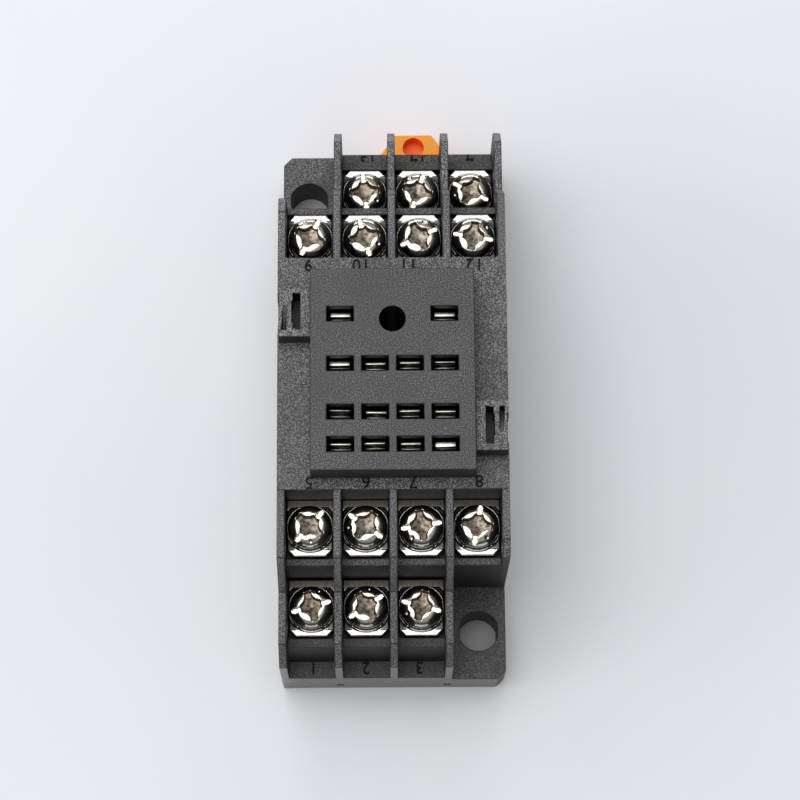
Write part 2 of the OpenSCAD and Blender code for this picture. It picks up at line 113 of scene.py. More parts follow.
def lumps_of(tree, grain_mm, detail=2.0, stretch=(1, 1, 1)):
    """Noise on Object coordinates whose lumps are grain_mm across."""
    place = add_node(tree, "ShaderNodeTexCoord").outputs["Object"]
    place = add_node(tree, "ShaderNodeMapping", {"Vector": place, "Scale": stretch}).outputs[0]
    noise = add_node(tree, "ShaderNodeTexNoise",
                     {"Vector": place, "Scale": 1 / (grain_mm * MM), "Detail": detail})
    return noise.outputs["Fac"]


def mottled(tree, grain_mm, *stops, detail=2.0, stretch=(1, 1, 1)):
    """Colour that changes over lumps grain_mm across. Gives the colour and the lumps."""
    lumps = lumps_of(tree, grain_mm, detail, stretch)
    shades = add_node(tree, "ShaderNodeValToRGB", {"Fac": lumps}, stops=stops)
    return shades.outputs["Color"], lumps


def following(tree, mask, amount=1.0, start=0.0):
    """Value from 0 to 1 that is start plus amount times a mask: a socket or an attribute's
    name."""
    if isinstance(mask, str):
        mask = add_node(tree, "ShaderNodeAttribute", attribute_name=mask).outputs["Fac"]
    return add_node(tree, "ShaderNodeMath", {0: mask, 1: amount, 2: start},
                    operation="MULTIPLY_ADD", use_clamp=True).outputs[0]


def coated(tree, body, mask, shade, amount=1.0, start=0.0):
    """The body colour with a shade laid over it as far as the mask says."""
    if isinstance(shade, str):
        shade = colour(shade)
    share = following(tree, mask, amount, start)
    return add_node(tree, "ShaderNodeMix", {"Factor": share, 6: body, 7: shade},
                    data_type="RGBA").outputs[2]


def finish_material(tree, relief, **surface):
    """Principled surface. Relief, if there is any, is the lumps, their depth in millimetres and
    how far they turn the light."""
    inputs = {key.replace("_", " "): value for key, value in surface.items()}
    if relief:
        lumps, depth_mm, strength = relief
        inputs["Normal"] = add_node(
            tree, "ShaderNodeBump",
            {"Height": lumps, "Distance": depth_mm * MM, "Strength": strength}).outputs["Normal"]
    shader = add_node(tree, "ShaderNodeBsdfPrincipled", inputs)
    add_node(tree, "ShaderNodeOutputMaterial", {"Surface": shader.outputs["BSDF"]})


def new_object(name, mesh, material):
    piece = bpy.data.objects.new(name, mesh)
    bpy.context.scene.collection.objects.link(piece)
    mesh.materials.clear()
    mesh.materials.append(material)
    return piece


def baked(piece, modifier):
    """Applies the piece's only modifier, so that a plain mesh is left."""
    graph = bpy.context.evaluated_depsgraph_get()
    graph.update()
    mesh = bpy.data.meshes.new_from_object(piece.evaluated_get(graph))
    piece.modifiers.remove(modifier)
    piece.data = mesh
    return piece


def add_piece(piece, body, slot, *nodes):
    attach(piece, body)
    if nodes:
        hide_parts(*nodes)
    return piece


# ---- materials ----


# Millimetres between the specks of dust on the black moulding.
DUST_MM = 1.9
# Painted shade on it towards the near end, where less light falls: Y in metres times the first
# number, plus the second, so it starts 10.6 mm from the middle.
NEAR_END_SHADE_PER_M = -17.0
NEAR_END_SHADE_OFFSET = -0.18


def moulded_black_pbt():
    """Glass-filled PBT, injection moulded: sparkling open faces, near-black pockets.

    The grain makes open upper faces matt charcoal with pale sparkle on each lump. Walls, deep
    floors and rounded edges are painted near black as shade, and the end walls paler as painted
    light and shinier. The seat's top is painted darker as shade, and the whole painted darker
    towards the near end as shade, where less light falls.
    Such grain is taken to be near 0.1 mm; 0.15 mm shows at this size.
    """
    material, tree = new_material("moulded_black_PBT")
    body, grain = mottled(tree, 0.15, (0.36, "#101010"), (0.50, "#4a4a4a"), (0.64, "#a6a6a6"))
    body = coated(tree, body, lumps_of(tree, 9.0), "#3c3c3e", 1.3, -0.5)
    # Painted shade: the seat's top is drawn darker than the shoulders, as less sheen falls on it.
    body = coated(tree, body, "seat_top", "#1f1f1f", 0.55)
    place = add_node(tree, "ShaderNodeTexCoord").outputs["Object"]
    along = add_node(tree, "ShaderNodeSeparateXYZ", {0: place}).outputs["Y"]
    # Painted shade: darker towards the near end, where less light falls.
    body = coated(tree, body, along, "#141414", NEAR_END_SHADE_PER_M, NEAR_END_SHADE_OFFSET)
    # Painted shade: faces that are upright or hemmed in are drawn near black, and only open upper
    # faces keep the grain's shades.
    body = coated(tree, body, "grained", "#131314", -1.0, 1.0)
    # Painted shade: floors deep in slots and pockets drawn almost black.
    body = coated(tree, body, "deep", "#060606")
    # Painted light: end walls drawn paler, for the light the table throws back on them.
    body = coated(tree, body, "end_wall", "#27282a")
    # Painted shade: rounded edges drawn near black, as a thin dark line.
    body = coated(tree, body, "rounded_edge", "#141415", 0.75)
    dust = add_node(tree, "ShaderNodeTexVoronoi", {"Vector": place, "Scale": 1 / (DUST_MM * MM)})
    speck = add_node(tree, "ShaderNodeValToRGB", {"Fac": dust.outputs["Distance"]},
                     stops=((0.045, "#ffffff"), (0.07, "#000000"))).outputs["Color"]
    body = coated(tree, body, speck, "#a9aaac", 0.3)
    finish_material(tree, (grain, 0.03, 0.45), Base_Color=body,
                    Roughness=following(tree, "end_wall", -0.22, 0.48))
    return material


def moulded_figures_pbt():
    """The housing's own PBT, where it stands up as figures: painted darker, as the shade their
    relief holds, and with almost no shine, so that strokes this thin can be read."""
    material, tree = new_material("moulded_figures_PBT")
    # Painted shade: the figures drawn darker than the housing around them.
    body, _ = mottled(tree, 0.3, (0.3, "#0f0f0f"), (0.7, "#1d1d1d"))
    finish_material(tree, None, Base_Color=body, Roughness=0.75, Specular_IOR_Level=0.15)
    return material


def moulded_rear_pbt():
    """PBT, injection moulded: an even dark grey, in lower relief than the housing and shinier. Its
    rounded edges are painted paler as highlight.
    """
    material, tree = new_material("moulded_rear_PBT")
    body, grain = mottled(tree, 0.35, (0.3, "#3a3b3e"), (0.7, "#55565a"))
    # Painted highlight: rounded edges drawn paler.
    body = coated(tree, body, "rounded_edge", "#77787c", 0.3)
    finish_material(tree, (grain, 0.02, 0.35), Base_Color=body, Roughness=0.45)
    return material


def moulded_orange_pa():
    """Orange polyamide, moulded: a soft satin skin, light that sinks in at thin edges. Walls and
    the pocket are painted a deeper orange as shade, and rounded edges paler as highlight."""
    material, tree = new_material("moulded_orange_polyamide")
    body, grain = mottled(tree, 0.5, (0.3, "#f4990a"), (0.7, "#f8a316"))
    # Painted shade: walls and the pocket drawn a deeper orange.
    body = coated(tree, body, "grained", "#ff6c00", -1.0, 1.0)
    # Painted highlight: rounded edges drawn paler.
    body = coated(tree, body, "rounded_edge", "#f7a94e", 0.3)
    finish_material(tree, (grain, 0.01, 0.3), Base_Color=body, Roughness=0.42,
                    Subsurface_Weight=0.15, Subsurface_Scale=0.8 * MM)
    return material


def bright_nickel():
    """Cold-headed steel with bright nickel plating: warm mirror shine broken by heading marks.

    The driver recess is drawn browner and duller: painted shade with a warm painted reflection.
    """
    material, tree = new_material("nickel_plated_steel_headed")
    plate, marks = mottled(tree, 0.35, (0.3, "#b9b2a6"), (0.7, "#dcd7cd"), detail=3.0)
    # Painted shade and warm painted reflection for the recess.
    recess_shade, _ = mottled(tree, 0.5, (0.34, "#574c42"), (0.66, "#b3a797"))
    finish_material(tree, (marks, 0.02, 0.2), Metallic=1.0,
                    Base_Color=coated(tree, plate, "recess", recess_shade),
                    Roughness=following(tree, "recess", 0.26, 0.12))
    return material


def plated_metal(name, grain_mm, dark, pale, depth_mm, strength, roughness, **marks):
    """A plated metal whose one set of marks gives both its shades and its relief."""
    material, tree = new_material(name)
    plate, lumps = mottled(tree, grain_mm, (0.3, dark), (0.7, pale), **marks)
    finish_material(tree, (lumps, depth_mm, strength), Base_Color=plate, Metallic=1.0,
                    Roughness=roughness)
    return material


def stamped_nickel():
    """Stamped washer with bright nickel plating: sheared edges and faint press marks."""
    return plated_metal("nickel_plated_steel_stamped", 0.5, "#bdb9b0", "#e2dfd8", 0.02, 0.15,
                        0.14, detail=3.0, stretch=(1, 2.5, 1))


def plated_strip():
    """Brass strip, stamped and nickel plated: drawn greyer than the screws as painted shade of the
    bays, with rolling lines.
    """
    # Painted shade: darker than the screws' plating, for the bays the strips lie in.
    return plated_metal("nickel_plated_brass_strip", 0.8, "#78736a", "#a39d92", 0.01, 0.2,
                        0.16, detail=3.0, stretch=(6, 1, 1))


def plated_spring_bronze():
    """Phosphor bronze contact leaf, bent and nickel plated: pale, with fine upright lines."""
    return plated_metal("nickel_plated_spring_bronze", 0.5, "#c9c3b4", "#efece2", 0.01, 0.3,
                        0.28, stretch=(1, 1, 4))


def zinc_plated_steel():
    """Turned steel screw with blue-white zinc plating: a duller, cloudy grey shine."""
    return plated_metal("zinc_plated_steel_turned", 0.9, "#9a9ea3", "#c3c7cc", 0.02, 0.3,
                        0.34, detail=3.0)


BLACK = moulded_black_pbt()
FIGURES = moulded_figures_pbt()
REAR = moulded_rear_pbt()
ORANGE = moulded_orange_pa()
SCREW = bright_nickel()
WASHER = stamped_nickel()
STRIP = plated_strip()
LEAF = plated_spring_bronze()
ZINC = zinc_plated_steel()

# ---- mouldings, with their edges rounded ----

SHARP = math.radians(30)
FLAT = math.radians(0.5)
WELD = 0.002 * MM
# A rounding needs this many times its own width between edges.
ROUNDING_ROOM = 2.2
# Rays that test a face's openness, and how far above the face they start.
OPEN_RAYS = 16
RAY_LIFT = 0.05 * MM
# How fast the painted light and the grain come in as a face gets more level or more open,
# and where a deep floor's painted shade ends.
LEVEL_GAIN = 2
OPEN_GAIN = 1.1
DEEP_GAIN = 8
# Least part of a normal that makes a face an upper one or an end wall.
UPPER = 0.3
ENDWARD = 0.9
SEAT_REACH = 16.5 * MM
END_WALL_Y = 34 * MM


def smooth_step(value):
    value = max(0.0, min(1.0, value))
    return value * value * (3 - 2 * value)


def merged_copy(node):
    """A CAD node's shape as one closed mesh of whole flat faces."""
    shape = bmesh.new()
    shape.from_mesh(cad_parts[node].data)
    bmesh.ops.remove_doubles(shape, verts=shape.verts, dist=WELD)
    bmesh.ops.dissolve_limit(shape, angle_limit=FLAT, verts=shape.verts,
                             edges=shape.edges, use_dissolve_boundaries=False)
    return shape


def is_sharp(edge):
    return edge.is_manifold and edge.calc_face_angle(0) > SHARP


def distance_between(first, second):
    """Smallest distance between an end of either edge and the other edge."""
    best = 1.0
    for one, two in ((first, second), (second, first)):
        start, end = (v.co for v in two.verts)
        along = end - start
        for vertex in one.verts:
            part = max(0, min(1, (vertex.co - start).dot(along) / along.length_squared))
            best = min(best, (start + along * part - vertex.co).length)
    return best


def roundable_edges(shape, room):
    """Sharp edges with room for a rounding. Short edges are left out, and edges that touch one,
    and edges nearer than room to another on the same face."""
    crowded = set()
    for face in shape.faces:
        edges = [edge for edge in face.edges if is_sharp(edge)]
        for i, first in enumerate(edges):
            if first.calc_length() < room:
                crowded.add(first)
            for second in edges[i + 1:]:
                if set(first.verts) & set(second.verts):
                    continue
                if distance_between(first, second) < room:
                    crowded.update((first, second))
    tight = {vertex for edge in crowded if edge.calc_length() < room for vertex in edge.verts}
    return [edge for edge in shape.edges if is_sharp(edge) and edge not in crowded
            and not tight & set(edge.verts)]


def inner_point(face):
    """Middle of the face's largest triangle, which always lies on the face."""
    corners = [vertex.co for vertex in face.verts]
    triangles = [[corners[i] for i in triple] for triple in tessellate_polygon([corners])]
    return sum(max(triangles, key=lambda t: area_tri(*t)), Vector()) / 3


def openness(skin, face):
    """Share of the slanting directions above a face in which nothing of the moulding stands."""
    corners = [vertex.co for vertex in face.verts]
    free = area = 0.0
    for triple in tessellate_polygon([corners]):
        triangle = [corners[i] for i in triple]
        start = sum(triangle, Vector()) / 3 + face.normal * RAY_LIFT
        weight = area_tri(*triangle) / OPEN_RAYS
        area += weight * OPEN_RAYS
        for i in range(OPEN_RAYS):
            turn = 2 * math.pi * (i + 0.5) / OPEN_RAYS
            way = Vector((math.cos(turn), math.sin(turn), 1)).normalized()
            if skin.ray_cast(start, way)[0] is None:
                free += weight
    return free / max(area, 1e-12)


def mark_finish(shape):
    """Marks each face for the mouldings' painted light and shade: how open and level it is, how
    deep, and whether it is the seat's top or an end wall."""
    skin = BVHTree.FromBMesh(shape)
    layers = shape.faces.layers.float
    grained, seat_top, end_wall, deep = (layers.new(name) for name in
                                      ("grained", "seat_top", "end_wall", "deep"))
    top = max(vertex.co.z for vertex in shape.verts)
    for face in shape.faces:
        if face.normal.z > UPPER:
            free = openness(skin, face)
            # Painted light: more for faces that are level and open to the sky.
            face[grained] = smooth_step(face.normal.z * LEVEL_GAIN) * smooth_step(OPEN_GAIN * free)
            face[deep] = 1 - smooth_step(DEEP_GAIN * free)
            spot = inner_point(face)
            face[seat_top] = spot.z > top - MM and abs(spot.y) < SEAT_REACH
        face[end_wall] = abs(face.normal.y) > ENDWARD and abs(inner_point(face).y) > END_WALL_Y


def to_mesh(shape, name):
    mesh = bpy.data.meshes.new(name)
    shape.to_mesh(mesh)
    shape.free()
    return mesh


def rounded_copy(name, node, width_mm, material):
    """Copy of a moulding with rounded edges and marked faces."""
    shape = merged_copy(node)
    mark_finish(shape)
    width = width_mm * MM
    edges = roundable_edges(shape, ROUNDING_ROOM * width)
    # Marks the rounded faces; the black moulding paints them as shade, the rear plate and latch as
    # highlight.
    rounded = shape.faces.layers.float.new("rounded_edge")
    made = bmesh.ops.bevel(shape, geom=edges, offset=width, offset_type="OFFSET", segments=2,
                           profile=0.5, affect="EDGES", clamp_overlap=False)
    for face in made["faces"]:
        face[rounded] = 1
    for face in shape.faces:
        face.smooth = True
    for edge in shape.edges:
        edge.smooth = not is_sharp(edge)
    piece = new_object(name, to_mesh(shape, name), material)
    weighted = piece.modifiers.new("even shading", "WEIGHTED_NORMAL")
    weighted.keep_sharp = True
    return baked(piece, weighted)


housing = rounded_copy("socket_housing", "housing", 0.12, BLACK)
add_piece(housing, "base", "black_plastic", "housing")
rear = rounded_copy("socket_rear_plate", "rear_plate", 0.1, REAR)
add_piece(rear, "base", "rear_plastic", "rear_plate")
latch = rounded_copy("rail_latch_bar", "rail_latch", 0.2, ORANGE)
add_piece(latch, "latch", "orange_plastic", "rail_latch")

# ---- terminals ----


def ring_band(rings, values, attribute_name=None):
    """Open band through rings of points, all with as many corners. Values gives for each ring
    the named attribute at its points. Gives the shape and its rows of vertices."""
    shape = bmesh.new()
    layer = shape.verts.layers.float.new(attribute_name) if attribute_name else None
    rows = []
    for ring, ring_values in zip(rings, values):
        row = []
        for point, value in zip(ring, ring_values):
            vertex = shape.verts.new(point)
            if layer:
                vertex[layer] = value
            row.append(vertex)
        rows.append(row)
    count = len(rows[0])
    for upper, lower in zip(rows, rows[1:]):
        for i in range(count):
            j = (i + 1) % count
            shape.faces.new((upper[i], lower[i], lower[j], upper[j]))
    return shape, rows


# Pan head, in millimetres.
HEAD_R = 2.75
HEAD_H = 2.1
CROWN_EDGE = 0.7
WING_REACH = 1.87
WING_W = 0.88
WEB_CENTRE = 2.4
WEB_R = 1.28
SLOT_FROM = 1.32
SLOT_W = 0.66
SLOT_DEPTH = 0.72
SAW_R = 60.0
SHANK_R = 1.25
THREAD_R = 1.46
SHANK_L = 8.0
THREAD_PITCH = 0.5
# Thread starts this far below the head, and ends as far above the shank's foot. The ridge's
# middle lies this far outside the shank.
THREAD_CLEAR = 0.6
THREAD_OUT = 0.02
# Chamfers below the head's rim and at the shank's tip: height and width.
RIM_CHAMFER_H = 0.14
RIM_CHAMFER_W = 0.12
TIP_CHAMFER_H = 0.4
TIP_CHAMFER_W = 0.3
# Recess: how deep its arms' ends are, how much deeper its middle is, and how wide its walls
# and the slot's are.
ARM_DEPTH = 0.85
POINT_DEPTH = 0.55
WALL_RUN = 0.14
SLOT_WALL_RUN = 0.08
SLOT_END_RUN = 0.1
# Round dimple beside the recess: distance from the axis, radius and depth.
DIMPLE_AT = 2.0
DIMPLE_R = 0.32
DIMPLE_DEPTH = 0.16
# The mesh: corners round the head, steps across it, the power that crowds its rings towards the
# rim, and the radius of the flat face at the axis.
HEAD_CORNERS = 144
HEAD_RINGS = 58
HEAD_SPACING = 0.92
AXIS_R = 0.02
# Edges that turn less than this are shaded as one surface.
CREASE = math.radians(50)


def crown(r):
    """Height of the head's top before the recess: a dome that turns ever steeper to the rim."""
    part = min(1.0, r / HEAD_R)
    return CROWN_EDGE + (HEAD_H - CROWN_EDGE) * math.sqrt(1 - part ** 5)


def head_point(x, y):
    """Height of the head's top at a point, and how far the point is inside the recess."""
    r = math.hypot(x, y)
    z = crown(r)
    u, v = sorted((abs(x), abs(y)), reverse=True)
    reach = SLOT_FROM if abs(x) > abs(y) else WING_REACH
    wing = min(reach - u, WING_W / 2 - v)
    web = WEB_CENTRE / math.sqrt(2)
    core = min(math.hypot(u - web, v - web) - WEB_R, reach - u)
    inside = smooth_step(0.5 + max(wing, core) / WALL_RUN)
    floor = HEAD_H - ARM_DEPTH - POINT_DEPTH * max(0.0, 1 - r / WING_REACH)
    z += (min(z, floor) - z) * inside
    if abs(x) > SLOT_FROM - SLOT_END_RUN:
        slot = smooth_step(0.5 + (SLOT_W / 2 - abs(y)) / SLOT_WALL_RUN)
        slot *= smooth_step((abs(x) - SLOT_FROM) / SLOT_END_RUN + 0.5)
        bottom = HEAD_H - SLOT_DEPTH + x * x / (2 * SAW_R)
        z += (min(crown(r), bottom) - z) * slot
        inside *= 1 - slot
    side = DIMPLE_AT * math.sqrt(0.5)
    off = math.hypot(x - side, y - side) / DIMPLE_R
    if off < 1:
        z -= DIMPLE_DEPTH * (1 - off * off) ** 2
    return z, inside


def screw_mesh(name, foot, turn):
    """Pan-head screw whose head rests at foot, turned about its axis."""
    angles = [2 * math.pi * i / HEAD_CORNERS for i in range(HEAD_CORNERS)]
    radii = [AXIS_R + (HEAD_R - AXIS_R) * (i / HEAD_RINGS) ** HEAD_SPACING
             for i in range(HEAD_RINGS + 1)]
    rings, values = [], []
    for r in radii:
        ring, inside = [], []
        for a in angles:
            x, y = r * math.cos(a), r * math.sin(a)
            z, recess = head_point(x, y)
            ring.append((x, y, z))
            inside.append(recess)
        rings.append(ring)
        values.append(inside)
    below = [(HEAD_R, RIM_CHAMFER_H), (HEAD_R - RIM_CHAMFER_W, 0.0), (SHANK_R, 0.0),
             (SHANK_R, TIP_CHAMFER_H - SHANK_L), (SHANK_R - TIP_CHAMFER_W, -SHANK_L),
             (AXIS_R, -SHANK_L)]
    for r, z in below:
        rings.append([(r * math.cos(a), r * math.sin(a), z) for a in angles])
        values.append([0.0] * HEAD_CORNERS)
    shape, rows = ring_band(rings, values, "recess")
    shape.faces.new(rows[0])
    shape.faces.new(list(reversed(rows[-1])))
    bmesh.ops.recalc_face_normals(shape, faces=shape.faces)
    place = Matrix.Translation(foot) @ Matrix.Rotation(turn, 4, "Z") @ Matrix.Scale(MM, 4)
    shape.transform(place)
    for face in shape.faces:
        face.smooth = True
    for edge in shape.edges:
        edge.smooth = not is_sharp(edge) or edge.calc_face_angle(0) < CREASE
    return to_mesh(shape, name)


def tree_with(name, sizes):
    """Geometry Nodes tree with named inputs. Gives the tree, its input and the identifiers."""
    tree = bpy.data.node_groups.new(name, "GeometryNodeTree")
    tree.interface.new_socket("Geometry", in_out="INPUT", socket_type="NodeSocketGeometry")
    tree.interface.new_socket("Geometry", in_out="OUTPUT", socket_type="NodeSocketGeometry")
    identifiers = {}
    for size, kind in sizes.items():
        socket = tree.interface.new_socket(size, in_out="INPUT", socket_type="NodeSocket" + kind)
        identifiers[size] = socket.identifier
    return tree, tree.nodes.new("NodeGroupInput").outputs, identifiers


def grown(piece, tree, identifiers, sizes):
    """Runs the tree on the piece with these sizes, and leaves a plain mesh."""
    modifier = piece.modifiers.new(tree.name, "NODES")
    modifier.node_group = tree
    for size, value in sizes.items():
        modifier[identifiers[size]] = value
    return baked(piece, modifier)


def thread_tree(material):
    """Adds a helical thread ridge below Foot, along the axis, to the screw it is given."""
    tree, given, identifiers = tree_with("machine_thread", {
        "Foot": "Vector", "Radius": "Float", "Pitch": "Float", "Turns": "Float",
        "Ridge": "Float"})
    length = add_node(tree, "ShaderNodeMath", {0: given["Pitch"], 1: given["Turns"]},
                      operation="MULTIPLY").outputs[0]
    helix = add_node(tree, "GeometryNodeCurveSpiral",
                     {"Resolution": 20, "Rotations": given["Turns"],
                      "Start Radius": given["Radius"], "End Radius": given["Radius"],
                      "Height": length}).outputs[0]
    drop = add_node(tree, "ShaderNodeCombineXYZ",
                    {"Z": add_node(tree, "ShaderNodeMath", {0: length, 1: -1.0},
                                   operation="MULTIPLY").outputs[0]}).outputs[0]
    start = add_node(tree, "ShaderNodeVectorMath", {0: given["Foot"], 1: drop},
                     operation="ADD").outputs[0]
    ridge = add_node(tree, "GeometryNodeCurvePrimitiveCircle",
                     {"Resolution": 4, "Radius": given["Ridge"]}).outputs[0]
    thread = add_node(tree, "GeometryNodeCurveToMesh",
                      {"Curve": helix, "Profile Curve": ridge, "Fill Caps": True}).outputs[0]
    thread = add_node(tree, "GeometryNodeTransform",
                      {"Geometry": thread, "Translation": start}).outputs[0]
    joined = add_node(tree, "GeometryNodeJoinGeometry").inputs[0]
    tree.links.new(thread, joined)
    tree.links.new(given["Geometry"], joined)
    real = add_node(tree, "GeometryNodeRealizeInstances",
                    {"Geometry": joined.node.outputs[0]}).outputs[0]
    real = add_node(tree, "GeometryNodeSetMaterial",
                    {"Geometry": real, "Material": material}).outputs[0]
    add_node(tree, "NodeGroupOutput", {0: real})
    return tree, identifiers


# Clamp washer, in millimetres: a square, dished outside the raised ring round the head, with a
# level lip.
WASHER_HALF = 2.85
WASHER_T = 0.9
LIP_FROM = 2.62
LIP_TO = 3.55
DISH_SLOPE = 0.2
RING_AT = 2.93
RING_HALF = 0.2
RING_RISE = 0.2
LIP_CORNER = 0.8
SEAT_CORNER = 0.5
BORE_R = 1.62
# Width of the lip's bend, rounding of the upper edge, height of the lower edge's chamfer.
LIP_BEND = 0.15
EDGE_ROUND = 0.22
FOOT_CHAMFER = 0.05
# The mesh: corners round the washer, steps from its bore to its edge.
WASHER_CORNERS = 160
WASHER_RINGS = 52
# Power that crowds the washer's rings towards its edge.
WASHER_SPACING = 1.25


def washer_outline(angle):
    """Distance from the screw's axis to the washer's edge; +Y is the side with the lip."""
    cut = [(1, 0, WASHER_HALF), (-1, 0, WASHER_HALF), (0, 1, LIP_TO), (0, -1, WASHER_HALF)]
    lip = (WASHER_HALF + LIP_TO - LIP_CORNER) / math.sqrt(2)
    seat = (2 * WASHER_HALF - SEAT_CORNER) / math.sqrt(2)
    s = math.sqrt(0.5)
    cut += [(s, s, lip), (-s, s, lip), (s, -s, seat), (-s, -s, seat)]
    x, y = math.cos(angle), math.sin(angle)
    return min(far / (x * a + y * b) for a, b, far in cut if x * a + y * b > 0.01)


def washer_top(x, y, to_edge):
    """Height of the washer's upper face at a point this far from its edge."""
    z = WASHER_T
    off = (math.hypot(x, y) - RING_AT) / RING_HALF
    if abs(off) < 1:
        z += RING_RISE * math.cos(off * math.pi / 2)
    dished = 1 - smooth_step((y - LIP_FROM) / LIP_BEND)
    z -= dished * DISH_SLOPE * max(0.0, math.hypot(x, y) - RING_AT)
    if to_edge < EDGE_ROUND:
        part = 1 - to_edge / EDGE_ROUND
        z -= EDGE_ROUND * (1 - math.sqrt(max(0.0, 1 - part * part)))
    return z


def washer_mesh(name, foot, turn):
    """Clamp washer whose lower face rests at foot, turned about the screw's axis."""
    angles = [2 * math.pi * (i + 0.5) / WASHER_CORNERS for i in range(WASHER_CORNERS)]
    edges = [washer_outline(a) for a in angles]
    rings = []
    for k in range(WASHER_RINGS + 1):
        part = 1 - (1 - k / WASHER_RINGS) ** WASHER_SPACING
        ring = []
        for a, edge in zip(angles, edges):
            r = BORE_R + (edge - BORE_R) * part
            x, y = r * math.cos(a), r * math.sin(a)
            ring.append((x, y, washer_top(x, y, edge - r)))
        rings.append(ring)
    rings.append([(x, y, FOOT_CHAMFER) for x, y, _ in rings[-1]])
    rings.append([(x, y, 0.0) for x, y, _ in rings[0]])
    shape, rows = ring_band(rings, [[0.0] * WASHER_CORNERS] * len(rings))
    for i in range(WASHER_CORNERS):
        j = (i + 1) % WASHER_CORNERS
        shape.faces.new((rows[-1][i], rows[0][i], rows[0][j], rows[-1][j]))
    bmesh.ops.recalc_face_normals(shape, faces=shape.faces)
    place = Matrix.Translation(foot) @ Matrix.Rotation(turn, 4, "Z") @ Matrix.Scale(MM, 4)
    shape.transform(place)
    for face in shape.faces:
        face.smooth = True
    for edge in shape.edges:
        edge.smooth = not is_sharp(edge)
    return to_mesh(shape, name)


# How far each screw happens to be turned, in degrees.
SCREW_TURNS = (-164, -146, -15, 152, 49, -36, 9, 80, 64, -75, 26, -10, -84, 72)

thread, thread_sockets = thread_tree(SCREW)
for n in TERMINALS:
    low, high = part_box("terminal_screw_%02d" % n)
    axis_x, axis_y = (low.x + high.x) / 2, (low.y + high.y) / 2
    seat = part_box("clamp_washer_%02d" % n)[1].z
    outward = 0.0 if axis_y > 0 else math.pi
    foot = Vector((axis_x, axis_y, seat))
    turn = math.radians(SCREW_TURNS[n - 1]) + outward
    name = "pan_head_screw_%02d" % n
    screw = new_object(name, screw_mesh(name, foot, turn), SCREW)
    grown(screw, thread, thread_sockets, {
        "Foot": foot - Vector((0, 0, THREAD_CLEAR * MM)), "Radius": (SHANK_R + THREAD_OUT) * MM,
        "Pitch": THREAD_PITCH * MM, "Turns": (SHANK_L - 2 * THREAD_CLEAR) / THREAD_PITCH,
        "Ridge": (THREAD_R - SHANK_R - THREAD_OUT) * MM})
    add_piece(screw, "screw_%02d" % n, "screw_nickel", "terminal_screw_%02d" % n)
    name = "square_clamp_washer_%02d" % n
    under = foot - Vector((0, 0, WASHER_T * MM))
    washer = new_object(name, washer_mesh(name, under, outward), WASHER)
    add_piece(washer, "clamp_%02d" % n, "washer_nickel", "clamp_washer_%02d" % n)
    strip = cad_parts["terminal_strip_%02d" % n]
    strip.data.materials.clear()
    strip.data.materials.append(STRIP)

# ---- contacts ----

# Fork contact, in millimetres from its middle: one bent strip from the near tip to the far tip.
FORK = ((-0.02, 27.4), (-0.06, 26.8), (-0.45, 25.2), (-0.95, 21.6), (-0.97, 18.2), (-0.6, 17.65),
        (0.6, 17.65), (0.97, 18.2), (0.95, 21.6), (0.65, 25.2), (0.5, 27.0), (0.48, 27.9),
        (0.52, 28.25))
FORK_T = (0.13, 0.15) + (0.2,) * 4 + (0.3,) * 5 + (0.42, 0.36)
FORK_W = 2.6
CONTACT_PITCH = 4.35


def fork_mesh(name):
    """Bent strip of changing thickness, drawn as one closed band of four-sided rings."""
    rings = []
    for i, (y, z) in enumerate(FORK):
        before, after = FORK[max(0, i - 1)], FORK[min(len(FORK) - 1, i + 1)]
        run = Vector((after[0] - before[0], after[1] - before[1])).normalized()
        side = Vector((-run.y, run.x)) * FORK_T[i] / 2
        rings.append([(half * FORK_W / 2, y + way * side.x, z + way * side.y)
                      for half, way in ((-1, -1), (1, -1), (1, 1), (-1, 1))])
    tip = [[0.0] * 4] * (len(rings) - 2) + [[0.0, 0.0, 0.5, 0.5], [0.0, 0.0, 1.0, 1.0]]
    shape, rows = ring_band(rings, tip, "tip")
    shape.faces.new(rows[0])
    shape.faces.new(list(reversed(rows[-1])))
    bmesh.ops.recalc_face_normals(shape, faces=shape.faces)
    shape.transform(Matrix.Scale(MM, 4))
    bmesh.ops.bevel(shape, geom=[e for e in shape.edges if is_sharp(e)], offset=0.07 * MM,
                    offset_type="OFFSET", segments=2, profile=0.5, affect="EDGES",
                    clamp_overlap=True)
    for face in shape.faces:
        face.smooth = True
    return to_mesh(shape, name)


